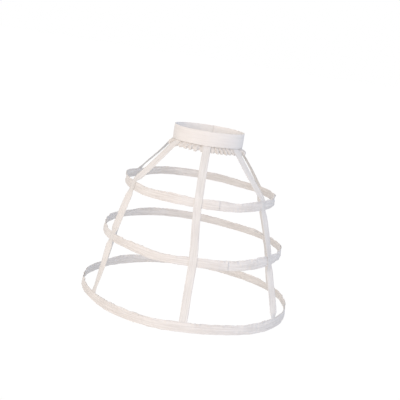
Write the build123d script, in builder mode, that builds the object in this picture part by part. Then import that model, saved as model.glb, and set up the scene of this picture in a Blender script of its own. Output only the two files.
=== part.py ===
from build123d import *

import os
from math import cos, degrees, pi, radians, sin, sqrt

# A child's crinoline cage: six ribbon tapes hang from an elastic waistband and carry three
# cased spring-steel hoops. Millimetres. The origin is the middle of the waistband, +Z is up
# and the front faces -Y. Left and right are as seen from the front, and an azimuth is
# counted in degrees from the front towards the right.

# Waistband: wide woven elastic, worn oval, its two ends lapped at the centre back.
waist_width = 200.0
waist_depth = 160.0
waistband_height = 40.0
waistband_thickness = 1.6
waistband_lap = 22.0

# Frill: a narrow strip gathered along its top and sewn inside the waistband's lower edge.
frill_seam = 7.0
frill_drop = 16.0
frill_thickness = 0.8
frill_flare = 8.0
gather_depth = 3.4
gather_length = 17.5
gather_depth_shares = (1.0, 0.55, 0.85, 0.65, 0.95, 0.45, 0.8)
gather_length_shares = (1.1, 0.8, 1.0, 0.9, 1.2, 0.75, 1.05, 0.95)
crest_end_share = 0.3
trough_start_share = 0.5
trough_end_share = 0.8

# Tapes: flat ribbons, caught inside the waistband and in the top seam of the bottom casing. They
# hang a little askew: each has its azimuth at the waist and at the top, middle and bottom hoops.
tape_width = 22.0
tape_thickness = 0.6
tape_top_end = 12.0
tape_bottom_end = 6.0
front_tape_azimuth = (0, 0, 2.35, 1.85)
front_right_tape_azimuth = (60, 55.5, 58, 60)
back_right_tape_azimuth = (108, 125, 122, 120)
back_tape_azimuth = (180, 180, 179.5, 178)
back_left_tape_azimuth = (260, 242.5, 242, 240)
front_left_tape_azimuth = (298, 301, 301.8, 303.8)

# Hoops: outside diameter of the casing, and depth of its middle below the origin.
top_hoop_diameter = 430.0
middle_hoop_diameter = 517.0
bottom_hoop_diameter = 600.0
top_hoop_drop = 154.0
middle_hoop_drop = 300.5
bottom_hoop_drop = 467.5

# Where each casing's ends are lapped, over the joint in its steel.
top_lap_azimuth = 11
middle_lap_azimuth = 20
bottom_lap_azimuth = 150

# Casings: a folded cloth strip, crowned over the steel and leaning in with the skirt's slope.
casing_height = 25.0
casing_wall = 0.4
casing_lap = 34.0
casing_lean_share = 0.2

# Steels, each bent to its hoop in short flat lengths, and the crimped sleeves that join their
# ends. One flat length carries the sleeve.
steel_flat = 29.0
steel_width = 7.0
steel_thickness = 1.0
steel_end_gap = 2.0
connector_length = 26.0
connector_wall = 0.5

fit_clearance = 0.15

# Sizes that follow from those above.
waistband_bottom = -waistband_height / 2
half_casing = casing_height / 2
seam_half = tape_thickness / 2 + fit_clearance + casing_wall
steel_rise = steel_flat**2 / (4 * top_hoop_diameter)
crown_half = (steel_thickness + steel_rise) / 2 + fit_clearance + 2 * casing_wall
tape_stand_off = tape_thickness / 2 + fit_clearance

# A flat tape end bridges the hollow of the oval, most at the oval's tight ends.
tightest_waist_radius = waist_depth**2 / (2 * waist_width)
tape_bridge = tape_width**2 / (8 * tightest_waist_radius)
tape_inset = waistband_thickness + tape_bridge + 2 * fit_clearance + tape_thickness / 2
frill_inset = tape_inset + tape_thickness / 2 + fit_clearance
bend_level = waistband_bottom - tape_thickness

hoops = {
    "top": (top_hoop_diameter / 2 - crown_half, -top_hoop_drop, top_lap_azimuth),
    "middle": (middle_hoop_diameter / 2 - crown_half, -middle_hoop_drop, middle_lap_azimuth),
    "bottom": (bottom_hoop_diameter / 2 - crown_half, -bottom_hoop_drop, bottom_lap_azimuth),
}
tapes = {
    "front": front_tape_azimuth,
    "front_right": front_right_tape_azimuth,
    "back_right": back_right_tape_azimuth,
    "back": back_tape_azimuth,
    "back_left": back_left_tape_azimuth,
    "front_left": front_left_tape_azimuth,
}

os.makedirs("parts", exist_ok=True)


def finish(part, node):
    """Label a finished piece and write it under its node's name."""
    part.label = node
    export_step(part, f"parts/{node}.step")


def outward(azimuth):
    """Level unit vector that points from the axis towards an azimuth."""
    return Vector(sin(radians(azimuth)), -cos(radians(azimuth)), 0)


def radial_plane(azimuth):
    """Upright plane through the axis: its x runs outwards and its y runs up."""
    return Plane(origin=(0, 0, 0), x_dir=outward(azimuth), z_dir=outward(azimuth - 90))


def oval_radius(azimuth, inset):
    """Distance from the axis to the waist's oval, drawn in by an inset all round."""
    across = sin(radians(azimuth)) / (waist_width / 2 - inset)
    along = cos(radians(azimuth)) / (waist_depth / 2 - inset)
    return 1 / sqrt(across**2 + along**2)


def oval_tangent(azimuth):
    """Level unit vector along the waistband at an azimuth."""
    direction = outward(azimuth)
    normal = Vector(direction.X / waist_width**2, direction.Y / waist_depth**2, 0)
    return normal.rotate(Axis.Z, 90).normalized()


def leaning(hoop_radius, level, points):
    """Casing section points (out, up) set at a hoop and sheared to the skirt's slope."""
    return [(hoop_radius + out - casing_lean_share * up, level + up) for out, up in points]


def casing_outline(extra=0):
    """Section of a casing: a flat fold below, a crown over the steel, a flat seam on top."""
    seam = seam_half + extra
    crown = crown_half + extra
    return [
        (-seam, half_casing),
        (seam, half_casing),
        (crown, 0),
        (seam, -half_casing),
        (-seam, -half_casing),
        (-crown, 0),
    ]


def strip_outline(thickness, width):
    """Section of a flat strip that stands on edge, or of the room that it needs."""
    return [
        (-thickness / 2, width / 2),
        (thickness / 2, width / 2),
        (thickness / 2, -width / 2),
        (-thickness / 2, -width / 2),
    ]


def flat_radius(hoop_radius):
    """Distance from the axis to the middle of a steel's flat lengths."""
    return hoop_radius - steel_rise / 2


def flat_count(hoop_radius):
    """How many flat lengths go round a hoop."""
    return int(2 * pi * hoop_radius / steel_flat)


def flats_turn(hoop_radius, lap_azimuth):
    """Turn of a many-sided ring that brings one flat length under the lap."""
    return lap_azimuth - 90 - 180 / flat_count(hoop_radius)


def arc_degrees(length, hoop_radius):
    """Angle that a length takes up along a hoop."""
    return degrees(length / hoop_radius)


# Waistband
with BuildPart() as waistband:
    with BuildSketch(Plane.XY.offset(waistband_bottom)):
        Ellipse(waist_width / 2, waist_depth / 2)
        Ellipse(
            waist_width / 2 - waistband_thickness,
            waist_depth / 2 - waistband_thickness,
            mode=Mode.SUBTRACT,
        )
    extrude(amount=waistband_height)
    with BuildSketch(Plane.XY.offset(waistband_bottom)):
        Ellipse(waist_width / 2 + waistband_thickness, waist_depth / 2 + waistband_thickness)
        Ellipse(
            waist_width / 2 - waistband_thickness / 2,
            waist_depth / 2 - waistband_thickness / 2,
            mode=Mode.SUBTRACT,
        )
        with Locations((0, waist_depth / 2)):
            Rectangle(waistband_lap, waist_depth / 2, mode=Mode.INTERSECT)
    extrude(amount=waistband_height)
finish(waistband.part, "waistband")


# Frill: every gather has its own length and depth, taken in turn from the two lists of shares.
# The free edge is the gathered edge spread outwards.
waist_perimeter = pi * (waist_width + waist_depth) / 2
gather_count = round(waist_perimeter / gather_length)
gather_lengths = [gather_length_shares[k % len(gather_length_shares)] for k in range(gather_count)]
gather_profile = (
    (0, 0),
    (crest_end_share, 0),
    (trough_start_share, 1),
    (trough_end_share, 1),
)


def gathered_edge(inset, spread):
    """Closed wavy outline round the waist, spread outwards by a factor."""
    points = []
    start = 0
    for k, length in enumerate(gather_lengths):
        depth = gather_depth * gather_depth_shares[k % len(gather_depth_shares)]
        for along_share, depth_share in gather_profile:
            azimuth = 360 * (start + along_share * length) / sum(gather_lengths)
            place = outward(azimuth) * oval_radius(azimuth, inset + depth_share * depth) * spread
            points.append((place.X, place.Y))
        start += length
    return points


frill_edges = (
    (waistband_bottom + frill_seam, 1),
    (bend_level, 1),
    (waistband_bottom - frill_drop, 1 + frill_flare / (waist_depth / 2 - frill_inset)),
)

with BuildPart() as waist_frill:
    for ply, mode in ((0, Mode.ADD), (frill_thickness, Mode.SUBTRACT)):
        for level, spread in frill_edges:
            with BuildSketch(Plane.XY.offset(level)):
                Polygon(*gathered_edge(frill_inset + ply, spread), align=None)
        loft(ruled=True, mode=mode)
finish(waist_frill.part, "waist_frill")


# Tapes: straight runs from the waistband over the outside of two hoops to the bottom casing.
def tape_path(azimuths):
    """Stations of one tape, each its azimuth, its distance from the axis and its level."""
    at_waist, at_top, at_middle, at_bottom = azimuths
    tab_radius = oval_radius(at_waist, tape_inset)
    stations = [
        (at_waist, tab_radius, waistband_bottom + tape_top_end),
        (at_waist, tab_radius, bend_level),
    ]
    for name, azimuth in (("top", at_top), ("middle", at_middle)):
        hoop_radius, level, _ = hoops[name]
        over_casing = [
            (seam_half + tape_stand_off, half_casing + tape_thickness),
            (crown_half + tape_stand_off, 0),
            (seam_half + tape_stand_off, -half_casing),
        ]
        stations += [(azimuth, *place) for place in leaning(hoop_radius, level, over_casing)]
    hoop_radius, level, _ = hoops["bottom"]
    in_seam = [(0, half_casing), (0, half_casing - tape_bottom_end)]
    return stations + [(at_bottom, *place) for place in leaning(hoop_radius, level, in_seam)]


tape_run_at_waist = 2

for place, azimuths in tapes.items():
    stations = tape_path(azimuths)
    path = [outward(azimuth) * radius + Vector(0, 0, level) for azimuth, radius, level in stations]
    runs = [(path[k + 1] - path[k]).normalized() for k in range(len(path) - 1)]
    with BuildPart() as tape:
        for k, (azimuth, _, _) in enumerate(stations):
            heading = runs[max(k - 1, 0)] + runs[min(k, len(runs) - 1)]
            width_way = outward(azimuth + 90)
            if k < tape_run_at_waist:
                width_way = oval_tangent(azimuth)
                heading -= width_way * heading.dot(width_way)
            with BuildSketch(Plane(origin=path[k], x_dir=width_way, z_dir=heading)):
                Rectangle(tape_width, tape_thickness)
        loft(ruled=True)
    finish(tape.part, f"tape_{place}")


# Hoop casings: each is closed by lapping one end of the strip over the other, and the bottom
# one is slotted along its top seam for the ends of the tapes.
for name, (hoop_radius, level, lap_azimuth) in hoops.items():
    lap_arc = arc_degrees(casing_lap, hoop_radius)
    sleeve_room = 2 * connector_wall + 4 * fit_clearance
    pocket = strip_outline(steel_thickness + sleeve_room, steel_width + sleeve_room)
    slot_half = tape_thickness / 2 + fit_clearance
    slot = [
        (-slot_half, half_casing + fit_clearance),
        (slot_half, half_casing + fit_clearance),
        (slot_half, half_casing - tape_bottom_end - fit_clearance),
        (-slot_half, half_casing - tape_bottom_end - fit_clearance),
    ]
    with BuildPart() as channel:
        for side, mode in ((1, Mode.ADD), (-1, Mode.SUBTRACT)):
            for up in (-steel_width / 2 - fit_clearance, steel_width / 2 + fit_clearance):
                wall_radius = flat_radius(hoop_radius) + side * (steel_thickness / 2 + fit_clearance)
                with BuildSketch(Plane.XY.offset(level + up)):
                    RegularPolygon(
                        wall_radius - casing_lean_share * up,
                        flat_count(hoop_radius),
                        major_radius=False,
                        rotation=flats_turn(hoop_radius, lap_azimuth),
                    )
            loft(ruled=True, mode=mode)
    with BuildPart() as casing:
        for outline, arc in ((casing_outline(), 360), (casing_outline(2 * casing_wall), lap_arc)):
            with BuildSketch(radial_plane(lap_azimuth - arc / 2)):
                Polygon(*leaning(hoop_radius, level, outline), align=None)
            revolve(axis=Axis.Z, revolution_arc=arc)
        add(channel.part, mode=Mode.SUBTRACT)
        with BuildSketch(radial_plane(lap_azimuth)):
            Polygon(*leaning(flat_radius(hoop_radius), level, pocket), align=None)
        extrude(amount=connector_length / 2 + fit_clearance, both=True, mode=Mode.SUBTRACT)
        if name == "bottom":
            for _, _, _, azimuth in tapes.values():
                with BuildSketch(radial_plane(azimuth)):
                    Polygon(*leaning(hoop_radius, level, slot), align=None)
                extrude(amount=tape_width / 2 + fit_clearance, both=True, mode=Mode.SUBTRACT)
    finish(casing.part, f"hoop_casing_{name}")


# Hoop steels: flat spring strip bent to a circle, its two ends a little apart in the connector.
for name, (hoop_radius, level, lap_azimuth) in hoops.items():
    with BuildPart() as steel:
        for side, mode in ((1, Mode.ADD), (-1, Mode.SUBTRACT)):
            for up in (-steel_width / 2, steel_width / 2):
                face_radius = flat_radius(hoop_radius) + side * steel_thickness / 2
                with BuildSketch(Plane.XY.offset(level + up)):
                    RegularPolygon(
                        face_radius - casing_lean_share * up,
                        flat_count(hoop_radius),
                        major_radius=False,
                        rotation=flats_turn(hoop_radius, lap_azimuth),
                    )
            loft(ruled=True, mode=mode)
        with BuildSketch(radial_plane(lap_azimuth)):
            with Locations((hoop_radius, level)):
                Rectangle(casing_height, casing_height)
        extrude(amount=steel_end_gap / 2, both=True, mode=Mode.SUBTRACT)
    finish(steel.part, f"hoop_steel_{name}")


# Hoop connectors: a flat sleeve crimped over both ends of the steel.
bore_room = 2 * fit_clearance
bore = strip_outline(steel_thickness + bore_room, steel_width + bore_room)
sleeve_growth = bore_room + 2 * connector_wall
sleeve = strip_outline(steel_thickness + sleeve_growth, steel_width + sleeve_growth)

for name, (hoop_radius, level, lap_azimuth) in hoops.items():
    with BuildPart() as connector:
        with BuildSketch(radial_plane(lap_azimuth)):
            Polygon(*leaning(flat_radius(hoop_radius), level, sleeve), align=None)
            Polygon(*leaning(flat_radius(hoop_radius), level, bore), align=None, mode=Mode.SUBTRACT)
        extrude(amount=connector_length / 2, both=True)
    finish(connector.part, f"hoop_connector_{name}")
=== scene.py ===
import bpy
import numpy as np
from mathutils import Matrix, Vector


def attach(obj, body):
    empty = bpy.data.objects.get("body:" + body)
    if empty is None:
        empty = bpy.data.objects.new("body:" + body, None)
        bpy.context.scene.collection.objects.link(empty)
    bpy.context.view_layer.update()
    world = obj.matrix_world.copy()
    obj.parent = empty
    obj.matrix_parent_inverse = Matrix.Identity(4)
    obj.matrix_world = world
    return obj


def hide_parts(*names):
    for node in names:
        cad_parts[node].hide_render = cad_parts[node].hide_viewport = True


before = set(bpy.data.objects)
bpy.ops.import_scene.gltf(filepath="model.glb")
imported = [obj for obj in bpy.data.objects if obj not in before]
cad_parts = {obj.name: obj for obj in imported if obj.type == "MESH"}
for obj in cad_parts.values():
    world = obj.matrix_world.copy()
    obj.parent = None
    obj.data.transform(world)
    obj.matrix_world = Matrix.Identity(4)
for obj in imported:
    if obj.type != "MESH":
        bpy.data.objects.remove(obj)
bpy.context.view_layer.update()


# Hoop steels: flat spring strip, rolled bright and tempered, each bent round to one hoop.
# A plated sleeve, crimped from sheet, joins the two ends of a strip. Both are the frame's own
# solids, and the casings hide them.
STEEL_TONES = ((0.36, 0.37, 0.4, 1), (0.55, 0.56, 0.58, 1))
SLEEVE_TONES = ((0.42, 0.42, 0.4, 1), (0.62, 0.62, 0.6, 1))
STEEL_STREAKS = (30, 30, 2600)
SLEEVE_STREAKS = (420, 420, 420)
STEEL_ROUGHNESS = 0.32
SLEEVE_ROUGHNESS = 0.4
STREAK_DEPTH = 0.0001


def shader_node(tree, kind, inputs=(), **settings):
    """Add one node: first its settings, then its inputs, each a value or another node's socket."""
    node = tree.nodes.new(kind)
    for key, value in settings.items():
        setattr(node, key, value)
    for key, value in dict(inputs).items():
        if isinstance(value, bpy.types.NodeSocket):
            tree.links.new(value, node.inputs[key])
        else:
            node.inputs[key].default_value = value
    return node


def two_tones(tree, share, tones, limits=(0.3, 0.7)):
    """Colour that goes from the first tone to the second as a share goes between its limits."""
    ramp = shader_node(tree, "ShaderNodeValToRGB", {"Fac": share})
    for stop, place, tone in zip(ramp.color_ramp.elements, limits, tones):
        stop.position = place
        stop.color = tone
    return ramp.outputs["Color"]


def rolled_metal(name, tones, streaks, roughness):
    """Bright metal: noise, squeezed in height into streaks that run round the hoop."""
    material = bpy.data.materials.new(name)
    material.use_nodes = True
    tree = material.node_tree
    place = shader_node(tree, "ShaderNodeTexCoord").outputs["Object"]
    squeezed = shader_node(tree, "ShaderNodeMapping", {"Vector": place, "Scale": streaks})
    grain = shader_node(
        tree, "ShaderNodeTexNoise", {"Vector": squeezed.outputs[0], "Scale": 1.0, "Detail": 3.0}
    ).outputs["Fac"]
    bump = shader_node(
        tree, "ShaderNodeBump", {"Height": grain, "Strength": 0.2, "Distance": STREAK_DEPTH}
    )
    metal = tree.nodes["Principled BSDF"]
    metal.inputs["Metallic"].default_value = 1.0
    metal.inputs["Roughness"].default_value = roughness
    tree.links.new(two_tones(tree, grain, tones), metal.inputs["Base Color"])
    tree.links.new(bump.outputs["Normal"], metal.inputs["Normal"])
    return material


spring_steel = rolled_metal("spring_steel", STEEL_TONES, STEEL_STREAKS, STEEL_ROUGHNESS)
crimped_sleeve = rolled_metal("crimped_sleeve", SLEEVE_TONES, SLEEVE_STREAKS, SLEEVE_ROUGHNESS)
for hoop in ("top", "middle", "bottom"):
    for piece, metal in (
        (f"hoop_steel_{hoop}", spring_steel),
        (f"hoop_connector_{hoop}", crimped_sleeve),
    ):
        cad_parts[piece].data.materials.clear()
        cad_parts[piece].data.materials.append(metal)


# Hoop casings: a strip of white cloth with both edges turned in, folded up round the steel and
# sewn along its top. The strip is longer than its hoop, so it puckers, and one end, turned
# under, is lapped over the other to close the ring.
CASING_COLOURS = ((0.87, 0.845, 0.83, 1), (0.93, 0.915, 0.905, 1))
CASING_THREADS = (0.0009, 0.0009)
CASING_THREAD_DEPTH = 0.00018
CASING_PLY = 0.0004
CASING_HALF = 0.0125
CASING_LEAN = 0.2
CASING_LAP = 0.034
CASING_STEP = 0.00225
LAP_LIFT = 0.00095
LAP_DROP = 0.0005
LAP_HEM = 0.011
HEM_LIFT = 0.15
HEM_WHITENESS = 0.1
# Radius of each hoop's middle surface, its level, and the azimuth of its lap in degrees.
HOOPS = {
    "top": (0.213306, -0.154, 11),
    "middle": (0.256806, -0.3005, 20),
    "bottom": (0.298306, -0.4675, 150),
}
# Azimuths of each tape at the waist and at the three hoops, from the front towards the right.
TAPE_PLACES = {
    "front": (0, 0, 2.35, 1.85),
    "front_right": (60, 55.5, 58, 60),
    "back_right": (108, 125, 122, 120),
    "back": (180, 180, 179.5, 178),
    "back_left": (260, 242.5, 242, 240),
    "front_left": (298, 301, 301.8, 303.8),
}
# Half of the folded section, from the turned-in edge over the top, in at the seam and down to the
# bottom fold: distance from the hoop's middle surface and height, in millimetres.
HALF_FOLD = np.array([
    (0.22, 5.0), (0.22, 5.8), (0.22, 7.0), (0.2, 8.2), (0.16, 9.4), (0.2, 10.6), (0.22, 11.8),
    (0.3, 12.22), (0.43, 12.32), (0.56, 12.22), (0.64, 11.8), (0.65, 10.6), (0.5, 9.4), (0.65, 8.2),
    (0.63, 7.0), (0.62, 5.8), (0.62, 5.0), (0.62, 3.4), (0.62, 1.7), (0.62, 0.0),
    (0.61, -1.7), (0.6, -3.4), (0.58, -4.6), (0.56, -5.8), (0.53, -7.4), (0.48, -9.6),
    (0.4, -11.6), (0.22, -12.25), (0.0, -12.42),
]) / 1000
# How the cloth lies, in metres: how far it crowns over the steel and over the sleeve, how far from
# the steel it starts to move freely, the lengths of its waves, and how far they carry its parts.
STEEL_CROWN = 0.00074
SLEEVE_CROWN = 0.00045
FREE_START = 0.0035
FREE_SPAN = 0.009
LONG_WAVE = (0.075, 0.03)
SHORT_WAVE = (0.022, 0.011)
SEAM_RISES = (0.0006, 0.0004)
SEAM_WAVES = (0.0017, 0.0009)
FOLD_WAVE = 0.0008
FOLD_DROP = 0.0004
CREASE_WAVES = (6, 26)
CREASE_SLANTS = (900, 300)
SHORT_CREASE = 0.6
PUFF = 0.0008
PUFF_BASE = 0.3
PUFF_LIMIT = 2
# Where these movements start and over what distance they grow: the change from one face to the
# other, the crown's half height, the sleeve's half length, the still cloth under a tape, the room
# for a tape's end in the bottom casing, the rise to the lap and the turned-under end.
FACE_BLEND = 0.00015
CROWN_HALF = 0.003
CROWN_BLEND = 0.0045
SLEEVE_HALF = 0.02
SLEEVE_BLEND = 0.006
CALM_REACH = 0.019
CALM_GAIN = 1.5
CALM_SHARE = 0.95
TAPE_ROOM = 0.0003
ROOM_REACH = 0.013
ROOM_START = 0.004
ROOM_BLEND = 0.003
LAP_RUN_UP = 0.009
LAP_BLEND = 0.008
HEM_BLEND = 0.001
# Cosines in one set of irregular waves, and the step between the seeds of two casings.
RIPPLE_PARTS = 8
CASING_SEEDS = 20
# The strips are sewn by hand and hang unevenly: at each azimuth, how far the upper and lower
# edges lie above their even places, and how far the upper edge flares out, in millimetres.
CASING_EDGES = {
    "top": (
        (0, 0, 1.5, 0), (14, 2.6, 0.9, 0), (28, -3.2, -0.8, 0), (41, -0.6, 0.7, 0),
        (50, 2.5, 1.7, 1), (70, 1, 2, 2), (86, 3, 3, 5), (100, 0, 0, 1), (118, -2, -1, 3),
        (130, -5, -0.5, 3), (146, -5, -3.5, -2), (165, -1, -1, 0), (195, 1, 1, 0),
        (215, 2.8, 2.5, -2), (228, 0.6, -0.3, -1.5), (240, -2, -1, 0), (254, 1, 1, 4),
        (271, 3, 3, 7), (284, 0, 3, 2), (299, 0, 2, 0), (315, -1.8, -0.4, 0), (323, -2.6, 0, 0),
        (339, 3, 1.4, 0), (350, 1.6, 1.6, 0),
    ),
    "middle": (
        (0, -0.3, 0.4, 0), (12, -0.8, -0.6, 0), (24, -2.4, -2.2, 0), (33, -1.3, -2.8, 0),
        (41, 1.5, -1.7, 0), (49, 4, 0.4, 0), (60, 2.5, 2.5, 0), (68, 3, 4.5, 1), (84, 2, 3, 3),
        (98, -2, -1, 3), (112, -5.5, -1.5, 3), (123, -6, -0.5, 3), (137, -4.5, -2.8, 3),
        (146, -5.5, -3.8, -2), (160, -3.5, -4, -2), (180, 0, 0, 0), (200, 4, 3, -2),
        (214, 6.5, 3.6, -3), (223, 5.5, 3.6, -3), (232, 1.5, 5, -2), (242, 2.5, 5.5, 0),
        (252, 4.5, 5.5, 1), (261, 6, 5, 1), (275, 3, 3, 1), (286, 0, 2, 0), (298, -2, 2.6, 0),
        (312, -1.2, 2.6, 0), (321, 0.2, 3, 0), (330, -0.4, 0, 0), (337, -4, -2, 0),
        (343, -5.5, -2.2, 0), (350, -4.5, 0, 0),
    ),
    "bottom": (
        (0, 1.5, 0.5, 0), (11, 1.6, 0.9, 0), (22, 1.3, 1.2, 0), (33, -0.4, -0.6, 0),
        (40, -1.2, -2.2, 0), (48, 0.3, -3, 0), (57, -0.5, -3.2, 0), (72, -3, -3, 1),
        (88, 0, 0, 3), (103, 4.5, 5, 2), (111, 4, 4.5, 1), (121, 0.8, 3.5, 0), (127, 1.5, 2.4, 0),
        (132, 4.5, 1.4, 0), (140, 1, 0, 0), (152, 0, -0.6, 0), (180, 0, -0.6, 0),
        (204, 1, 0.3, 0), (218, 3, -2.2, 0), (227, 4.5, -2.4, 0), (233, 2.4, -1.4, 0),
        (239, -2.6, -2, 0), (247, -3, -4, 0), (253, 0.5, -2.5, 0), (261, 3, 0, 1), (275, 1, 1, 1),
        (292, 0, 3.6, 0), (299, -1, 3.8, 0), (307, -1.4, 2.4, 0), (315, -1.3, 0, 0),
        (330, -1.4, -1.6, 0), (345, -3.6, -1.9, 0), (353, -0.6, -1.6, 0),
    ),
}


def ease(share):
    """Smooth step: 0 below 0, 1 above 1, level at both ends."""
    share = np.clip(share, 0, 1)
    return share * share * (3 - 2 * share)


def step_up(value, start, span):
    """Smooth step from 0 to 1 that begins at a start and takes a span."""
    return ease((value - start) / span)


def ripple(seed, angle, waves, across=0.0, slant=0.0):
    """Irregular waves round a ring, about -1 to 1: a sum of cosines, each with a whole number of
    waves to the turn, so that it closes on itself, and its own slant across the cloth."""
    draw = np.random.default_rng(seed)
    counts = draw.integers(*waves, RIPPLE_PARTS)
    phases = draw.uniform(0, 2 * np.pi, RIPPLE_PARTS)
    leans = draw.uniform(-slant, slant, RIPPLE_PARTS)
    total = 0
    for count, phase, lean in zip(counts, phases, leans):
        total = total + np.cos(count * angle + lean * across + phase)
    return total / (RIPPLE_PARTS / 2)


def two_ripples(sizes, seed, angle, waves):
    """Long and short irregular waves added, each to its own size and from its own seed."""
    return sum(
        size * ripple(seed + k, angle, count) for k, (size, count) in enumerate(zip(sizes, waves))
    )


def turned_gap(angle, place):
    """Smallest angle from a place on a ring, in radians, as a number from -pi to pi."""
    return (angle - np.radians(place) + np.pi) % (2 * np.pi) - np.pi


def near_tapes(hoop, angle, reach):
    """1 at the middle of each tape on a hoop, falling off as a bell over a reach along it."""
    column = 1 + list(HOOPS).index(hoop)
    gaps = [turned_gap(angle, places[column]) * HOOPS[hoop][0] for places in TAPE_PLACES.values()]
    return np.clip(sum(np.exp(-((gap / reach) ** 2)) for gap in gaps), 0, 1)


def edge_offsets(hoop, angle):
    """Offsets of a casing's upper and lower edges and its flare, in metres: straight lines
    between the listed azimuths, smoothed over a few degrees."""
    azimuths, *columns = np.array(CASING_EDGES[hoop]).T
    turns = np.degrees(angle)
    return [
        sum(
            weight / 1000 * np.interp(turns + step, azimuths, column, period=360)
            for step, weight in ((-4, 0.25), (0, 0.5), (4, 0.25))
        )
        for column in columns
    ]


# Tones that multiply a cloth's own colour in its worn streaks and, as painted shade, between its
# threads, the tone of doubled cloth, the scales of its lint, clouds and streaks, how much the
# painted shade between the threads shows, and the length of one wave of Blender's wave texture at
# scale 1.
FULL_TONE = (1, 1, 1, 1)
WORN_TONE = (0.86, 0.855, 0.85, 1)
THREAD_GAP_SHADE = (0.9, 0.89, 0.88, 1)
DOUBLED_TONE = (0.95, 0.94, 0.92, 1)
LINT_SCALE = 650.0
CLOUD_SCALE = 16.0
STREAK_SCALES = (14, 330, 1)
WORN_LIMITS = (0.35, 0.62)
GAP_SHADE_LIMITS = (0.15, 0.7)
GAP_SHADE_SHARE = 0.6
WAVE_LENGTH = 2 * np.pi / 20


def woven_cloth(name, tones, pitches, depth, streaks, twill=False, roughness=0.75, sheen=0.12):
    """White cloth: two sets of threads cross by the UV map, which is in metres, slow clouds, long
    streaks and lint vary its tone, and doubled places are whiter. The threads and the lint also
    make its bump, and where they are low the colour is darkened as painted shade between the
    threads."""
    material = bpy.data.materials.new(name)
    material.use_nodes = True
    tree = material.node_tree
    laid = shader_node(tree, "ShaderNodeUVMap", uv_map="cloth").outputs["UV"]
    place = shader_node(tree, "ShaderNodeTexCoord").outputs["Object"]
    waves = [
        shader_node(
            tree,
            "ShaderNodeTexWave",
            {"Vector": laid, "Scale": WAVE_LENGTH / pitch, "Distortion": 0.4, "Detail": 1.0},
            bands_direction=way,
        ).outputs["Fac"]
        for pitch, way in zip(pitches, ("DIAGONAL" if twill else "X", "Y"))
    ]
    threads = shader_node(tree, "ShaderNodeMath", {0: waves[0], 1: waves[1]}, operation="MULTIPLY")
    lint, cloud = [
        shader_node(
            tree, "ShaderNodeTexNoise", {"Vector": place, "Scale": scale, "Detail": detail}
        )
        for scale, detail in ((LINT_SCALE, 3.0), (CLOUD_SCALE, 4.0))
    ]
    height = shader_node(
        tree,
        "ShaderNodeMath",
        {0: lint.outputs["Fac"], 1: 0.5, 2: threads.outputs[0]},
        operation="MULTIPLY_ADD",
    )
    bump = shader_node(
        tree, "ShaderNodeBump", {"Height": height.outputs[0], "Strength": 0.5, "Distance": depth}
    )
    stretched = shader_node(tree, "ShaderNodeMapping", {"Vector": laid, "Scale": STREAK_SCALES})
    streak = shader_node(
        tree, "ShaderNodeTexNoise", {"Vector": stretched.outputs[0], "Scale": 1.0, "Detail": 2.0}
    )
    worn = two_tones(tree, streak.outputs["Fac"], (WORN_TONE, FULL_TONE), WORN_LIMITS)
    clouded = shader_node(
        tree,
        "ShaderNodeMix",
        {0: streaks, 6: two_tones(tree, cloud.outputs["Fac"], tones), 7: worn},
        data_type="RGBA",
        blend_type="MULTIPLY",
    ).outputs[2]
    # Painted shade: the colour is darkened where the weave and the lint are low, between the
    # threads.
    gaps = two_tones(tree, height.outputs[0], (THREAD_GAP_SHADE, FULL_TONE), GAP_SHADE_LIMITS)
    shaded = shader_node(
        tree,
        "ShaderNodeMix",
        {0: GAP_SHADE_SHARE, 6: clouded, 7: gaps},
        data_type="RGBA",
        blend_type="MULTIPLY",
    )
    doubled = shader_node(tree, "ShaderNodeAttribute", attribute_name="doubled").outputs["Fac"]
    whiter = shader_node(
        tree, "ShaderNodeMix", {0: doubled, 6: shaded.outputs[2], 7: DOUBLED_TONE}, data_type="RGBA"
    )
    cloth = tree.nodes["Principled BSDF"]
    cloth.inputs["Roughness"].default_value = roughness
    cloth.inputs["Specular IOR Level"].default_value = 0.3
    cloth.inputs["Sheen Weight"].default_value = sheen
    cloth.inputs["Sheen Roughness"].default_value = 0.5
    tree.links.new(whiter.outputs[2], cloth.inputs["Base Color"])
    tree.links.new(bump.outputs["Normal"], cloth.inputs["Normal"])
    return material


def cloth_from_grid(name, points, along, across, ply, material, doubled=None, ring=False):
    """Sheet through a grid of points: every four neighbours make a face, the UV map holds the
    distance along and across the cloth in metres, and Solidify gives it the ply's thickness. A
    ring's last column is its first one again, and is joined to it."""
    columns, rows = points.shape[:2]
    number = np.arange(columns * rows).reshape(columns, rows)
    corners = np.stack([number[:-1, :-1], number[:-1, 1:], number[1:, 1:], number[1:, :-1]], -1)
    laid = np.stack(np.broadcast_arrays(along, across), -1).reshape(-1, 2)[corners.reshape(-1)]
    if ring:
        points = points[:-1]
        corners = corners % (len(points) * rows)
    mesh = bpy.data.meshes.new(name)
    mesh.from_pydata(points.reshape(-1, 3).tolist(), [], corners.reshape(-1, 4).tolist())
    mesh.uv_layers.new(name="cloth").data.foreach_set("uv", laid.reshape(-1).astype(np.float32))
    if doubled is not None:
        spread = np.broadcast_to(doubled, (columns, rows)).reshape(-1).astype(np.float32)
        mesh.attributes.new("doubled", "FLOAT", "POINT").data.foreach_set("value", spread)
    mesh.shade_smooth()
    mesh.materials.append(material)
    sheet = bpy.data.objects.new(name, mesh)
    bpy.context.scene.collection.objects.link(sheet)
    thick = sheet.modifiers.new("ply", "SOLIDIFY")
    thick.thickness = ply
    thick.offset = 0
    return sheet


def around(angle, radius, level):
    """Points at a distance from the axis and a level, at an angle from the front to the right."""
    radius, level, angle = np.broadcast_arrays(radius, level, angle)
    return np.stack([radius * np.sin(angle), -radius * np.cos(angle), level], -1)


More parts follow.
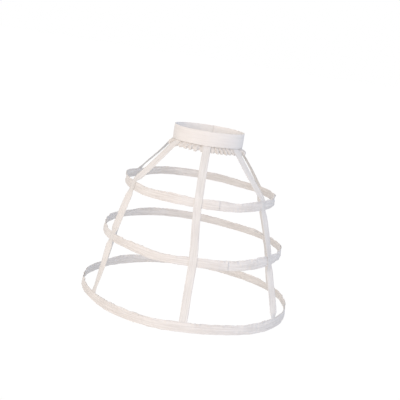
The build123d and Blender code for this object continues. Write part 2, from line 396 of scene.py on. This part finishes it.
def casing_surface(hoop, angle, out, up, over, seed):
    """Points of a folded casing. Out and up are the section's own, and the angle goes round. The
    edges rise, sink and flare by the list, the seam waves in and out but lies still under a tape,
    the bottom fold waves a little, both faces crown over the steel and puff out between, and the
    lapped end lies outside the other."""
    radius, level, lap = HOOPS[hoop]
    calm = 1 - CALM_SHARE * np.clip(CALM_GAIN * near_tapes(hoop, angle, CALM_REACH), 0, 1)
    seam = step_up(up, FREE_START, FREE_SPAN)
    fold = step_up(-up, FREE_START, FREE_SPAN)
    side = np.tanh(out / FACE_BLEND)
    turn = 2 * np.pi * radius
    waves = [[int(turn / length) for length in lengths] for lengths in (LONG_WAVE, SHORT_WAVE)]
    upper, lower, flare = edge_offsets(hoop, angle)
    share = (up + CASING_HALF) / (2 * CASING_HALF)
    taller = two_ripples(SEAM_RISES, seed, angle, waves)
    wave_out = two_ripples(SEAM_WAVES, seed + 2, angle, waves)
    fold_out = FOLD_WAVE * ripple(seed + 4, angle, waves[0])
    fold_drop = FOLD_DROP * ripple(seed + 5, angle, waves[0])
    crease = ripple(seed + 6, angle, CREASE_WAVES, up, CREASE_SLANTS[0])
    crease = crease + SHORT_CREASE * ripple(seed + 7, angle, waves[1], up, CREASE_SLANTS[1])
    puff = PUFF * np.clip(crease + PUFF_BASE, 0, PUFF_LIMIT)
    height = up + upper * share + lower * (1 - share)
    height = height + calm * (seam * taller + fold * fold_drop) - LAP_DROP * over * fold
    sleeve = ease((SLEEVE_HALF - np.abs(turned_gap(angle, lap)) * radius) / SLEEVE_BLEND)
    crown = STEEL_CROWN + SLEEVE_CROWN * sleeve
    crown = crown * (1 - step_up(np.abs(height), CROWN_HALF, CROWN_BLEND))
    held_tape = near_tapes(hoop, angle, ROOM_REACH) if hoop == "bottom" else 0
    opened = TAPE_ROOM * held_tape * step_up(up, ROOM_START, ROOM_BLEND)
    out = out + side * (crown + puff * calm + opened + LAP_LIFT * over)
    out = out + calm * (seam * wave_out + fold * fold_out) + flare * seam
    return around(angle, radius + out - CASING_LEAN * height, level + height)


def turned_under(along, run):
    """1 where the strip's end is turned under, 0 before it, with a short rise between."""
    return ease((along - run + LAP_HEM) / HEM_BLEND)


def lap_rise(along, run):
    """How far the strip's end stands over its start, 1 for one strip: it rises just before the lap,
    and a little more where its end is turned under."""
    lapped = ease((along - run + CASING_LAP + LAP_RUN_UP) / LAP_BLEND)
    return lapped + HEM_LIFT * turned_under(along, run)


casing_cloth = woven_cloth(
    "casing_cloth", CASING_COLOURS, CASING_THREADS, CASING_THREAD_DEPTH, streaks=0.8
)
fold_out_up = np.concatenate([HALF_FOLD, HALF_FOLD[-2::-1] * (-1, 1)])
fold_steps = np.linalg.norm(np.diff(fold_out_up, axis=0), axis=1)
fold_across = np.concatenate([[0], np.cumsum(fold_steps)])
for seed, (hoop, (radius, _, lap)) in enumerate(HOOPS.items()):
    run = 2 * np.pi * radius + CASING_LAP
    along = np.linspace(0, run, int(run / CASING_STEP))[:, None]
    angle = np.radians(lap) + (along - CASING_LAP / 2) / radius
    over = lap_rise(along, run)
    points = casing_surface(hoop, angle, *fold_out_up.T, over, CASING_SEEDS * seed)
    whiter = HEM_WHITENESS * turned_under(along, run)
    casing = cloth_from_grid(
        f"casing_{hoop}", points, along, fold_across, CASING_PLY, casing_cloth, whiter
    )
    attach(casing, "root")
    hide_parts(f"hoop_casing_{hoop}")


# Casing seams: one row of lockstitch in white thread round each casing, through its turned-in
# edges, with the needle thread outside and the bobbin thread inside, and one short upright row
# through the end of the lap.
# The thread's white, and a darker tone painted as shade in the grooves of its twist.
THREAD_WHITE_AND_GROOVE_SHADE = ((0.8, 0.78, 0.76, 1), (0.92, 0.91, 0.9, 1))
STITCH_LENGTH = 0.0032
STITCH_SHARE = 0.8
THREAD_RADIUS = 0.00027
THREAD_STAND = 0.0001
TWIST_DEPTH = 0.0001
SEAM_HEIGHT = 0.0093
LAP_ROW_HALF = 0.0104
# The half fold's outer ply starts at this point of its list.
OUTER_START = 10
# A stitch's rings of points, each with its place along the half length and its girth as a share of
# the radius, and the number of sides. A row's end is moved on a little to take in its last stitch.
STITCH_RINGS = ((-1, 0.25), (-0.7, 0.85), (0, 1), (0.7, 0.85), (1, 0.25))
STITCH_SIDES = 5
ROW_SLACK = 0.0001


def twisted_thread(name, tones):
    """Sewing thread: fine slanted bands for its twist, from a wave on Object coordinates. The wave
    makes its bump and darkens its colour in the grooves as painted shade.
    """
    material = bpy.data.materials.new(name)
    material.use_nodes = True
    tree = material.node_tree
    place = shader_node(tree, "ShaderNodeTexCoord").outputs["Object"]
    twist = shader_node(
        tree,
        "ShaderNodeTexWave",
        {"Vector": place, "Scale": 700.0, "Distortion": 0.5},
        bands_direction="DIAGONAL",
    ).outputs["Fac"]
    bump = shader_node(
        tree, "ShaderNodeBump", {"Height": twist, "Strength": 0.4, "Distance": TWIST_DEPTH}
    )
    thread = tree.nodes["Principled BSDF"]
    thread.inputs["Roughness"].default_value = 0.55
    thread.inputs["Sheen Weight"].default_value = 0.1
    # Painted shade: the thread is darker in the low grooves of its twist.
    tree.links.new(two_tones(tree, twist, tones), thread.inputs["Base Color"])
    tree.links.new(bump.outputs["Normal"], thread.inputs["Normal"])
    return material


def stitches(name, rows, length, radius, material):
    """Rows of stitches, each with the stitches' middles, ways and outward directions. A stitch is a
    short five-sided thread that thins to both ends: a point is its middle, plus a share of its
    half length along it, plus the radius turned round it."""
    middles, ways, outwards = map(np.concatenate, zip(*rows))
    shares, girths = np.array(STITCH_RINGS).T[:, None, :, None, None]
    turns = 2 * np.pi * np.arange(STITCH_SIDES)[None, :, None] / STITCH_SIDES
    ways = ways / np.linalg.norm(ways, axis=1, keepdims=True)
    sideways = np.cross(ways, outwards)
    sideways = sideways / np.linalg.norm(sideways, axis=1, keepdims=True)
    outwards = np.cross(sideways, ways)
    ring = np.cos(turns) * sideways[:, None] + np.sin(turns) * outwards[:, None]
    points = (
        middles[:, None, None]
        + length / 2 * shares * ways[:, None, None]
        + radius * girths * ring[:, None]
    )
    number = np.arange(points[..., 0].size).reshape(points.shape[:3])
    beside = np.roll(number, -1, axis=2)
    sides = np.stack([number[:, :-1], number[:, 1:], beside[:, 1:], beside[:, :-1]], -1)
    ends = np.concatenate([number[:, 0, :], number[:, -1, ::-1]])
    faces = sides.reshape(-1, 4).tolist() + ends.tolist()
    mesh = bpy.data.meshes.new(name)
    mesh.from_pydata(points.reshape(-1, 3).tolist(), [], faces)
    mesh.shade_smooth()
    mesh.materials.append(material)
    thread = bpy.data.objects.new(name, mesh)
    bpy.context.scene.collection.objects.link(thread)
    return thread


white_thread = twisted_thread("white_thread", THREAD_WHITE_AND_GROOVE_SHADE)
outer_half = HALF_FOLD[OUTER_START:]
outer_row = int(np.argmin(np.abs(outer_half[:, 1] - SEAM_HEIGHT))) + OUTER_START
inner_row = len(fold_out_up) - 1 - outer_row
lap_row = np.arange(-LAP_ROW_HALF, LAP_ROW_HALF + ROW_SLACK, STITCH_LENGTH)
half_stitch = STITCH_LENGTH / 2
for seed, (hoop, (radius, _, lap)) in enumerate(HOOPS.items()):
    run = 2 * np.pi * radius + CASING_LAP
    along = np.arange(CASING_LAP + STITCH_LENGTH, run - STITCH_LENGTH, STITCH_LENGTH)[:, None]
    angle = np.radians(lap) + (along - CASING_LAP / 2) / radius
    rows = []
    for out, up in fold_out_up[[outer_row, inner_row]]:
        face = np.sign(out) * (abs(out) + CASING_PLY / 2 + THREAD_STAND)
        start, end = [
            casing_surface(
                hoop,
                angle + step / radius,
                np.array([face]),
                np.array([up]),
                lap_rise(along + step, run),
                CASING_SEEDS * seed,
            )[:, 0]
            for step in (-half_stitch, half_stitch)
        ]
        outward = np.sign(out) * around(angle[:, 0], 1, CASING_LEAN)
        rows.append(((start + end) / 2, end - start, outward))
    along = np.array([[run - LAP_HEM / 3]])
    angle = np.radians(lap) + (along - CASING_LAP / 2) / radius
    start, end = [
        casing_surface(
            hoop,
            angle,
            np.interp(up, outer_half[::-1, 1], outer_half[::-1, 0]) + CASING_PLY / 2 + THREAD_STAND,
            up,
            lap_rise(along, run),
            CASING_SEEDS * seed,
        )[0]
        for up in (lap_row - half_stitch, lap_row + half_stitch)
    ]
    outward = np.tile(around(angle[0, 0], 1, CASING_LEAN), (len(lap_row), 1))
    rows.append(((start + end) / 2, end - start, outward))
    seam = stitches(
        f"casing_seam_{hoop}", rows, STITCH_LENGTH * STITCH_SHARE, THREAD_RADIUS, white_thread
    )
    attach(seam, "root")


# Tapes: six lengths of white twill tape. Each is sewn inside the waistband, lies over the
# outside of the top and middle hoops, and ends in the top seam of the bottom casing.
TAPE_COLOURS = ((0.85, 0.835, 0.825, 1), (0.91, 0.9, 0.89, 1))
TAPE_THREADS = (0.0011, 0.0007)
TAPE_THREAD_DEPTH = 0.00016
TAPE_WIDTH = 0.022
TAPE_PLY = 0.0005
TAPE_STEP = 0.0018
TAPE_INSET = 0.00315
TAPE_TOP = -0.008
WAIST_HALVES = (0.1, 0.08)
BEND_LEVEL = -0.0206
TAPE_LIFT_SEAM = 0.00135
TAPE_LIFT_STEEL = 0.00195
TAPE_BOTTOM_END = 0.006
TAPE_CLEAR = 0.0006
TAPE_HELD = 0.02
TAPE_COLUMNS = 13
TAPE_SWAY = 0.0013
TAPE_CUP = (0.0002, 0.0006)
TAPE_BUCKLE = 0.0003
TAPE_EDGE_WANDER = 0.0004
TAPE_TURN_WANDER = 0.04
# The waves' paces in radians to the metre, the buckle's second one to the half width, and the
# range of their starts.
TURN_PACE = 14
SWAY_PACE = 23
WANDER_PACE = 37
BUCKLE_PACES = (61, 2.5)
WAVE_STARTS = (0, 6)
TAPE_SEED = 400
# The stations of a tape's line between which it runs free, and those at the steels it crosses.
FREE_RUNS = ((1, 2), (4, 5), (7, 8))
CROSSINGS = (3, 6)
# The running mean that rounds the line: steps to each side, and the spread of their weights.
MEAN_HALF = 4
MEAN_SPREAD = 1.6


def oval_radius(angle, inset):
    """Distance from the axis to the waist's oval, drawn in by an inset all round."""
    across = np.sin(angle) / (WAIST_HALVES[0] - inset)
    depth = np.cos(angle) / (WAIST_HALVES[1] - inset)
    return 1 / np.sqrt(across**2 + depth**2)


def tape_line(azimuths):
    """Middle line of a tape and the direction of its width, at even steps along it: straight runs
    between the places where it is held, with their corners rounded by a short running mean."""
    at_waist, *at_hoops = np.radians(azimuths)
    tab = oval_radius(at_waist, TAPE_INSET)
    stations = [(at_waist, tab, TAPE_TOP), (at_waist, tab, BEND_LEVEL)]
    for angle, hoop in zip(at_hoops[:2], ("top", "middle")):
        radius, level, _ = HOOPS[hoop]
        upper, lower, _ = edge_offsets(hoop, angle)
        for lift, up in (
            (TAPE_LIFT_SEAM, CASING_HALF + upper + TAPE_CLEAR),
            (TAPE_LIFT_STEEL, 0),
            (TAPE_LIFT_SEAM, lower - CASING_HALF),
        ):
            stations.append((angle, radius + lift - CASING_LEAN * up, level + up))
    radius, level, _ = HOOPS["bottom"]
    upper, _, _ = edge_offsets("bottom", at_hoops[2])
    for up in (CASING_HALF + upper, CASING_HALF + upper - TAPE_BOTTOM_END):
        stations.append((at_hoops[2], radius - CASING_LEAN * up, level + up))
    angles, radii, levels = np.array(stations).T
    places = around(angles, radii, levels)
    ways = around(angles + np.pi / 2, 1.0, 0.0)
    oval_normal = around(at_waist, 1.0, 0.0) * (WAIST_HALVES[1] ** 2, WAIST_HALVES[0] ** 2, 0)
    ways[:2] = np.array([-oval_normal[1], oval_normal[0], 0]) / np.linalg.norm(oval_normal)
    runs = np.concatenate([[0], np.cumsum(np.linalg.norm(np.diff(places, axis=0), axis=1))])
    along = np.linspace(0, runs[-1], int(runs[-1] / TAPE_STEP))
    line, width_way = [
        np.stack([np.interp(along, runs, stops[:, k]) for k in range(3)], -1)
        for stops in (places, ways)
    ]
    weights = np.exp(-((np.arange(-MEAN_HALF, MEAN_HALF + 1) / MEAN_SPREAD) ** 2))
    weights = weights / weights.sum()
    padded = np.pad(line, ((MEAN_HALF, MEAN_HALF), (0, 0)), "edge")
    rounded = sum(weight * padded[k:k + len(line)] for k, weight in enumerate(weights))
    rounded[:MEAN_HALF], rounded[-MEAN_HALF:] = line[:MEAN_HALF], line[-MEAN_HALF:]
    return along, rounded, width_way / np.linalg.norm(width_way, axis=1, keepdims=True), runs


def free_run(along, start, end):
    """0 where a tape is held at the ends of a run, and 1 in the middle of the run."""
    return ease((along - start) / TAPE_HELD) * ease((end - along) / TAPE_HELD)


def drawn_wave(along, pace, draw):
    """Sine of a distance at a pace in radians, from a start that is drawn."""
    return np.sin(along * pace + draw.uniform(*WAVE_STARTS))


tape_twill = woven_cloth(
    "tape_twill",
    TAPE_COLOURS,
    TAPE_THREADS,
    TAPE_THREAD_DEPTH,
    streaks=0.8,
    twill=True,
    roughness=0.62,
    sheen=0.15,
)
# Each tape turns a little in its three free runs: its turn at the start and end of each, in
# radians.
TAPE_TWISTS = {
    "front": (0, 0.05, -0.05, 0.06, 0.05, -0.04),
    "front_right": (0.1, 0.2, 0.1, 0.1, 0.35, 0.55),
    "back_right": (0, 0.1, 0, -0.1, 0.1, 0),
    "back": (0.08, -0.06, -0.1, 0.05, 0.04, -0.08),
    "back_left": (0.1, -0.1, 0.1, 0, 0, 0.1),
    "front_left": (-0.1, -0.45, -0.45, -0.5, -0.45, 0.22),
}
tape_share = np.linspace(-1, 1, TAPE_COLUMNS)[None, :]
tape_lines = {}
for seed, (place, azimuths) in enumerate(TAPE_PLACES.items()):
    along, middle, width_way, runs = tape_line(azimuths)
    draw = np.random.default_rng(TAPE_SEED + seed)
    free = sum(free_run(along, runs[first], runs[last]) for first, last in FREE_RUNS)[:, None]
    heading = np.gradient(middle, axis=0)
    face = np.cross(heading, width_way)
    face = face / np.linalg.norm(face, axis=1, keepdims=True)
    twist = np.interp(along, runs[np.ravel(FREE_RUNS)], TAPE_TWISTS[place])
    twist = free[:, 0] * (twist + TAPE_TURN_WANDER * drawn_wave(along, TURN_PACE, draw))
    turned_way, turned_face = [
        np.cos(twist)[:, None] * first + np.sin(twist)[:, None] * second
        for first, second in ((width_way, face), (face, -width_way))
    ]
    sway = TAPE_SWAY * drawn_wave(along, SWAY_PACE, draw)[:, None]
    cup = draw.uniform(*TAPE_CUP) * (1 - tape_share**2)
    buckle = TAPE_BUCKLE * drawn_wave(along, BUCKLE_PACES[0], draw)[:, None]
    buckle = buckle * drawn_wave(tape_share, BUCKLE_PACES[1], draw)
    lift = free * (sway + cup + buckle)
    across = TAPE_WIDTH / 2 * tape_share
    wander = free * TAPE_EDGE_WANDER * drawn_wave(along, WANDER_PACE, draw)[:, None]
    points = (
        middle[:, None]
        + (across + wander)[..., None] * turned_way[:, None]
        + lift[..., None] * turned_face[:, None]
    )
    tape = cloth_from_grid(f"ribbon_{place}", points, along[:, None], across, TAPE_PLY, tape_twill)
    tape_lines[place] = (middle, width_way, face, runs, along)
    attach(tape, "root")
    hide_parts(f"tape_{place}")


# Tape tacks: where a tape crosses a hoop it is held by two short rows of stitches, one through
# the casing's seam and one just under its steel.
TACK_HEIGHTS = (0.0093, -0.0088)
TACK_STITCHES = 6
TACK_SPREAD = 0.9
TACK_LENGTH = 0.0026
TACK_RADIUS = 0.00026
TACK_STAND = 0.00008
rows = []
shares = (np.arange(TACK_STITCHES) + 0.5) / TACK_STITCHES * 2 - 1
for middle, width_way, face, runs, along in tape_lines.values():
    for crossing in CROSSINGS:
        for up in TACK_HEIGHTS:
            at = int(np.argmin(np.abs(along - runs[crossing] + up)))
            tack = (
                middle[at]
                + TACK_SPREAD * TAPE_WIDTH / 2 * shares[:, None] * width_way[at]
                + (TAPE_PLY / 2 + TACK_STAND) * face[at]
            )
            way, outward = [np.tile(side[at], (TACK_STITCHES, 1)) for side in (width_way, face)]
            rows.append((tack, way, outward))
tacks = stitches("tape_tacks", rows, TACK_LENGTH, TACK_RADIUS, white_thread)
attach(tacks, "root")


# Waist frill: a narrow strip of soft white cotton, gathered on a thread along its top edge and
# sewn inside the waistband's lower edge. Its folds open out towards the free edge below.
FRILL_COLOURS = ((0.8, 0.775, 0.75, 1), (0.87, 0.85, 0.835, 1))
FRILL_THREADS = (0.0007, 0.0007)
FRILL_THREAD_DEPTH = 0.00014
FRILL_PLY = 0.0004
FRILL_SPAN = 0.02
FRILL_INSET = 0.0043
FRILL_TOP = -0.013
FRILL_BOTTOM = -0.036
FRILL_FLARE = 0.0088
GATHER_LENGTH = 0.0135
GATHER_REACH = 0.0034
GATHER_LENGTHS = (0.6, 1.4)
GATHER_DEPTHS = (0.6, 1.3)
CREST_DROP = 0.0016
CREST_PUFF = 0.0016
FOLD_ASIDE = 0.0013
TUCK_DEPTH = 0.0011
EDGE_WANDER = 0.0005
FRILL_COLUMNS = 1500
FRILL_ROWS = 17
FRILL_SEED = 77
# How the gathers are shaped: their reach at the thread and the stand of their crests as shares,
# how far they wander aside, how round they turn in, and their tucks and side folds to a gather.
CLOSED_REACH = 0.3
CREST_STAND = 1.5
GATHER_WANDER = 0.09
WANDER_WAVES = (20, 60)
VALLEY_ROUND = 0.006
TUCKS = 3
SIDE_FOLDS = 2
# Where on the drop the gathers open, the tucks end and the frill comes out under the band, each
# with the share of the drop that it takes.
OPENING = (0.15, 0.6)
TUCK_END = (0.2, 0.3)
BELOW_BAND = (0.3, 0.7)
# Behind a tape: half of the pressed width, its blend, and the room to the tape, which grows as the
# tape slopes away.
PRESSED_HALF = 0.02
PRESSED_BLEND = 0.005
PRESSED_ROOM = 0.0005
TAPE_SLOPE = 0.9


def frill_surface(angle, drop):
    """Points of the frill. Drop goes from 0 at the gathered edge to 1 at the free edge. Every
    gather has its own length and depth: the cloth stands out in a round crest and turns in
    sharply between two of them, all growing with the drop, and it hangs lower at the crests. Near
    the thread it is tucked three times as finely, and behind a tape it is pressed flat."""
    draw = np.random.default_rng(FRILL_SEED)
    count = int(np.pi * sum(WAIST_HALVES) / GATHER_LENGTH)
    lengths = draw.uniform(*GATHER_LENGTHS, count)
    edges = np.concatenate([[0], np.cumsum(lengths)]) / lengths.sum() * 2 * np.pi
    depths = draw.uniform(*GATHER_DEPTHS, count)
    depths = np.append(depths, depths[0])
    phase = np.interp(angle, edges, np.arange(count + 1))
    depth = np.interp(angle, edges, depths)
    wander = ripple(FRILL_SEED + 1, angle, WANDER_WAVES)
    level = FRILL_TOP + (FRILL_BOTTOM - FRILL_TOP) * drop
    opening = step_up(drop, *OPENING)
    reach = GATHER_REACH * depth * (CLOSED_REACH + opening)
    turn = np.pi * (phase + GATHER_WANDER * wander * drop)
    crest = 2 * np.sqrt(np.cos(turn) ** 2 + VALLEY_ROUND) - 1
    below_band = step_up(drop, *BELOW_BAND)
    tucked = TUCK_DEPTH * depth * (1 - step_up(drop, *TUCK_END))
    tucks = tucked * (np.cos(2 * TUCKS * turn) - 1)
    puff = CREST_PUFF * np.sin(np.pi * below_band) * (1 + crest)
    out = reach * (crest - 1 + CREST_STAND * opening) + tucks + puff
    aside = FOLD_ASIDE * depth * opening * np.sin(2 * SIDE_FOLDS * turn)
    spread = FRILL_FLARE * below_band
    level = level - CREST_DROP * opening * depth * crest * drop + EDGE_WANDER * wander * drop
    stand = spread + out
    room = PRESSED_ROOM + TAPE_SLOPE * np.clip(BEND_LEVEL - level, 0, None)
    for at_waist, *_ in TAPE_PLACES.values():
        beside = np.abs(turned_gap(angle, at_waist)) * oval_radius(angle, 0)
        pressed = ease((PRESSED_HALF - beside) / PRESSED_BLEND)
        stand = stand - pressed * np.clip(stand - room, 0, None)
    radius = oval_radius(angle, FRILL_INSET) + stand
    return around(angle + aside / radius, radius, level)


frill_cotton = woven_cloth(
    "frill_cotton", FRILL_COLOURS, FRILL_THREADS, FRILL_THREAD_DEPTH, streaks=0.3, roughness=0.8
)
angle = np.linspace(0, 2 * np.pi, FRILL_COLUMNS)[:, None]
drop = np.linspace(0, 1, FRILL_ROWS)[None, :]
points = frill_surface(angle, drop)
frill_run = np.linalg.norm(np.diff(points[:, -1], axis=0), axis=1).sum()
frill_along = angle / (2 * np.pi) * frill_run
frill_across = drop * FRILL_SPAN
frill = cloth_from_grid(
    "frill", points, frill_along, frill_across, FRILL_PLY, frill_cotton, ring=True
)
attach(frill, "root")
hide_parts("waist_frill")


# Waistband: a length of wide white woven elastic, ribbed along its length, worn stretched to an
# oval. Its two ends are lapped and sewn down at the centre back.
BAND_COLOURS = ((0.9, 0.885, 0.88, 1), (0.94, 0.93, 0.925, 1))
BAND_RIBS = (0.0009, 0.0019)
BAND_RIB_DEPTH = 0.00022
BAND_HALF = 0.02
BAND_PLY = 0.0015
BAND_LAP = 0.022
BAND_LAP_LIFT = 0.0017
BAND_LAP_RUN_UP = 0.08
BAND_LAP_BLEND = 0.07
BAND_COLUMNS = 420
BAND_ROWS = 27
BAND_SEED = 90
# How the elastic lies: where its edges start and how wide they are, how far they are drawn in,
# how far and how often they wave out and up, the slow waves of the whole band, and the swell of
# its middle.
BAND_EDGE = (0.013, 0.007)
EDGE_DRAWN_IN = 0.00025
EDGE_OUT = 0.0004
EDGE_OUT_WAVES = (14, 44)
EDGE_UP = 0.0004
EDGE_UP_WAVES = (20, 60)
SLOW_OUT = 0.0003
SLOW_WAVES = (4, 14)
SLOW_SLANT = 90
SWELL = 0.0003
SWELL_HALF = 0.012


def band_surface(angle, up, over):
    """Points of the waistband: the oval at every level, its edges drawn in a little by the pull of
    the rubber and waved slightly, with the lapped end lying outside the other."""
    edge = step_up(np.abs(up), *BAND_EDGE)
    wave = EDGE_OUT * ripple(BAND_SEED, angle, EDGE_OUT_WAVES) * edge
    wave = wave + SLOW_OUT * ripple(BAND_SEED + 1, angle, SLOW_WAVES, up, SLOW_SLANT)
    swell = SWELL * ease((SWELL_HALF - np.abs(up)) / SWELL_HALF)
    inset = BAND_PLY / 2 + EDGE_DRAWN_IN * edge - swell
    radius = oval_radius(angle, inset) + wave + BAND_LAP_LIFT * over
    level = up + np.sign(up) * edge * EDGE_UP * ripple(BAND_SEED + 2, angle, EDGE_UP_WAVES)
    return around(angle, radius, level)


band_elastic = woven_cloth(
    "band_elastic", BAND_COLOURS, BAND_RIBS, BAND_RIB_DEPTH, streaks=0.3, roughness=0.58, sheen=0.1
)
band_run = np.pi * (3 * sum(WAIST_HALVES) - np.sqrt(
    (3 * WAIST_HALVES[0] + WAIST_HALVES[1]) * (WAIST_HALVES[0] + 3 * WAIST_HALVES[1])
))
lap_turn = BAND_LAP / WAIST_HALVES[0]
angle = np.linspace(np.pi - lap_turn / 2, 3 * np.pi + lap_turn / 2, BAND_COLUMNS)[:, None]
# The rows of points lie closer together towards the edges: half way from even steps to a sine's.
up = BAND_HALF * np.sin(np.linspace(-np.pi / 2, np.pi / 2, BAND_ROWS))[::-1][None, :]
up = 0.5 * up + 0.5 * np.linspace(BAND_HALF, -BAND_HALF, BAND_ROWS)[None, :]
over = ease((angle - 3 * np.pi + lap_turn / 2 + BAND_LAP_RUN_UP) / BAND_LAP_BLEND)
band_along = (angle - np.pi) / (2 * np.pi) * band_run
points = band_surface(angle, up, over)
band = cloth_from_grid("band", points, band_along, up, BAND_PLY, band_elastic)
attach(band, "root")
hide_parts("waistband")


# Waistband seams: two rows of stitches near the lower edge hold the frill and the tapes, and two
# upright rows at the centre back hold the lap.
BAND_ROW_HEIGHTS = (-0.0102, -0.0158)
BAND_STITCHES = 170
BAND_STITCH_LENGTH = 0.0027
BAND_THREAD_RADIUS = 0.00026
BAND_THREAD_STAND = BAND_PLY / 2 + 0.00012
LAP_ROW_PLACE = 0.38
LAP_ROW_END = 0.0175
LAP_ROW_STEP = 0.0035
rows = []
step = 2 * np.pi / BAND_STITCHES
first = np.pi + lap_turn / 2 + step
angle = first + np.arange(BAND_STITCHES - int(lap_turn / step) - 3)[:, None] * step
outward = around(angle[:, 0], 1.0, 0.0)
for height in BAND_ROW_HEIGHTS:
    start, end = [
        band_surface(angle + turn, np.array([height]), 0)[:, 0] for turn in (-step / 2, step / 2)
    ]
    rows.append(((start + end) / 2 + outward * BAND_THREAD_STAND, end - start, outward))
height = np.arange(-LAP_ROW_END, LAP_ROW_END + ROW_SLACK, LAP_ROW_STEP)
for turn in (-LAP_ROW_PLACE * lap_turn, LAP_ROW_PLACE * lap_turn):
    angle = np.pi + turn
    outward = np.tile(around(angle, 1.0, 0.0), (len(height), 1))
    row = band_surface(np.full((1, 1), angle), height[None, :], 1.0)[0]
    upward = np.tile((0.0, 0.0, 1.0), (len(height), 1))
    rows.append((row + outward * BAND_THREAD_STAND, upward, outward))
band_seams = stitches("band_seams", rows, BAND_STITCH_LENGTH, BAND_THREAD_RADIUS, white_thread)
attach(band_seams, "root")


# Studio: a wide white floor well below the hem, white all round for the camera, and soft light:
# a warm lamp low on the left of the front, a cool weaker one on the right, and pale walls.
FLOOR_LEVEL = -1.05
FLOOR_HALF = 30
FLOOR_MATT = (0.74, 0.73, 0.71, 1)
FLOOR_SHOWN = (0.4, 0.4, 0.4, 1)
FLOOR_GLOW = 0.7
WHITE = (1, 1, 1, 1)
WALLS = (0.715, 0.695, 0.68, 1)
# Each lamp's azimuth and height in degrees, its strength, colour and width in degrees.
LAMPS = {
    "key": ((-22, 7), 1.62, (1, 0.85, 0.745), 40),
    "fill": ((72, 10), 0.74, (0.26, 0.53, 1), 80),
}


def seen_directly(tree):
    """1 for rays from the camera, a mirror or a clear surface, 0 for the light on the object."""
    path = shader_node(tree, "ShaderNodeLightPath")
    mirrored = shader_node(
        tree,
        "ShaderNodeMath",
        {0: path.outputs["Is Glossy Ray"], 1: path.outputs["Is Transmission Ray"]},
        operation="MAXIMUM",
    )
    seen = shader_node(
        tree,
        "ShaderNodeMath",
        {0: path.outputs["Is Camera Ray"], 1: mirrored.outputs[0]},
        operation="MAXIMUM",
    )
    return seen.outputs[0]


floor_mesh = bpy.data.meshes.new("floor")
floor_corners = np.array([(-1, -1), (1, -1), (1, 1), (-1, 1)]) * FLOOR_HALF
floor_mesh.from_pydata([(x, y, FLOOR_LEVEL) for x, y in floor_corners.tolist()], [], [(0, 1, 2, 3)])
floor = bpy.data.objects.new("floor", floor_mesh)
bpy.context.scene.collection.objects.link(floor)
white_floor = bpy.data.materials.new("white_floor")
white_floor.use_nodes = True
tree = white_floor.node_tree
tree.nodes.clear()
matt = shader_node(tree, "ShaderNodeBsdfDiffuse", {"Color": FLOOR_MATT})
pale = shader_node(tree, "ShaderNodeBsdfDiffuse", {"Color": FLOOR_SHOWN})
glow = shader_node(tree, "ShaderNodeEmission", {"Color": WHITE, "Strength": FLOOR_GLOW})
shown = shader_node(tree, "ShaderNodeAddShader", {0: pale.outputs[0], 1: glow.outputs[0]})
either = shader_node(
    tree, "ShaderNodeMixShader", {0: seen_directly(tree), 1: matt.outputs[0], 2: shown.outputs[0]}
)
shader_node(tree, "ShaderNodeOutputMaterial", {"Surface": either.outputs[0]})
floor_mesh.materials.append(white_floor)

world = bpy.data.worlds.new("studio")
bpy.context.scene.world = world
world.use_nodes = True
tree = world.node_tree
tree.nodes.clear()
walls = shader_node(tree, "ShaderNodeBackground", {"Color": WALLS, "Strength": 1.0})
white = shader_node(tree, "ShaderNodeBackground", {"Color": WHITE, "Strength": 1.0})
either = shader_node(
    tree, "ShaderNodeMixShader", {0: seen_directly(tree), 1: walls.outputs[0], 2: white.outputs[0]}
)
shader_node(tree, "ShaderNodeOutputWorld", {"Surface": either.outputs[0]})

for name, ((azimuth, height), strength, colour, width) in LAMPS.items():
    lamp = bpy.data.lights.new(name, "SUN")
    lamp.energy = strength
    lamp.color = colour
    lamp.angle = np.radians(width)
    lamp_object = bpy.data.objects.new(name, lamp)
    towards = around(np.radians(azimuth), np.cos(np.radians(height)), np.sin(np.radians(height)))
    lamp_object.rotation_euler = Vector(towards).to_track_quat("Z", "Y").to_euler()
    bpy.context.scene.collection.objects.link(lamp_object)


# Camera: in front of the cage and above it, looking down, and rolled so that the cage leans.
CAMERA_PLACE = (0, -2.302, 0.3055)
CAMERA_DOWN = np.radians(12.14)
CAMERA_ASIDE = np.radians(0.105)
CAMERA_ROLL = np.radians(9.0)
LENS = 73.53
SENSOR_WIDTH = 36
camera = bpy.data.cameras.new("camera")
camera.lens = LENS
camera.sensor_width = SENSOR_WIDTH
camera_object = bpy.data.objects.new("camera", camera)
ahead = np.array([
    np.sin(CAMERA_ASIDE) * np.cos(CAMERA_DOWN),
    np.cos(CAMERA_ASIDE) * np.cos(CAMERA_DOWN),
    -np.sin(CAMERA_DOWN),
])
right = np.array([np.cos(CAMERA_ASIDE), -np.sin(CAMERA_ASIDE), 0])
above = np.cross(right, ahead)
axes = Matrix.Identity(4)
axes.col[0] = (*(np.cos(CAMERA_ROLL) * right + np.sin(CAMERA_ROLL) * above), 0)
axes.col[1] = (*(np.cos(CAMERA_ROLL) * above - np.sin(CAMERA_ROLL) * right), 0)
axes.col[2] = (*-ahead, 0)
axes.col[3] = (*CAMERA_PLACE, 1)
camera_object.matrix_world = axes
bpy.context.scene.collection.objects.link(camera_object)
bpy.context.scene.camera = camera_object
bpy.context.scene.view_settings.view_transform = "Standard"
